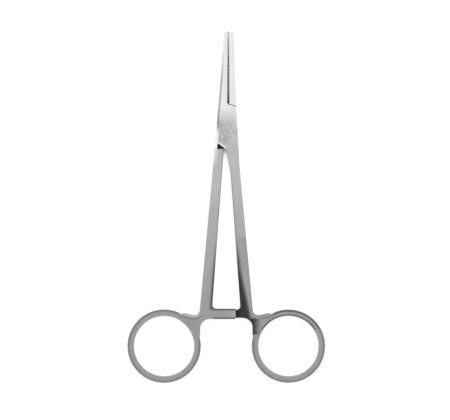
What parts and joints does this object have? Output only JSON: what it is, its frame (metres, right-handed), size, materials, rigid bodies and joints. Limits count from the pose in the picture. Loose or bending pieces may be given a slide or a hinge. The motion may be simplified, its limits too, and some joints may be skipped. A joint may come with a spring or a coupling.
{
  "type": "hemostat forceps",
  "caption": "Straight locking forceps with slim serrated jaws, a box lock, long shanks, a ratchet and finger rings.",
  "frame": {"origin": "on the pivot axis, in the plane of the box lock's back face", "axes": "+Y along the instrument to the jaw tips, +Z from its back to its front, +X to the side of the jaw of through_half"},
  "size_m": [0.0788, 0.1401, 0.0044],
  "materials": {
    "forged_steel": "satin stainless steel, polished towards the jaws",
    "rivet_steel": "stainless steel, polished flush with the box"
  },
  "bodies": {
    "box_half": {"box_half": "forged_steel", "pivot_pin": "rivet_steel"},
    "through_half": {"through_half": "forged_steel"}
  },
  "joints": [
    {"name": "pivot", "type": "hinge", "parent": "box_half", "child": "through_half", "pos_m": [0, 0, 0], "axis": [0, 0, -1], "range_deg": [0, 40]}
  ]
}
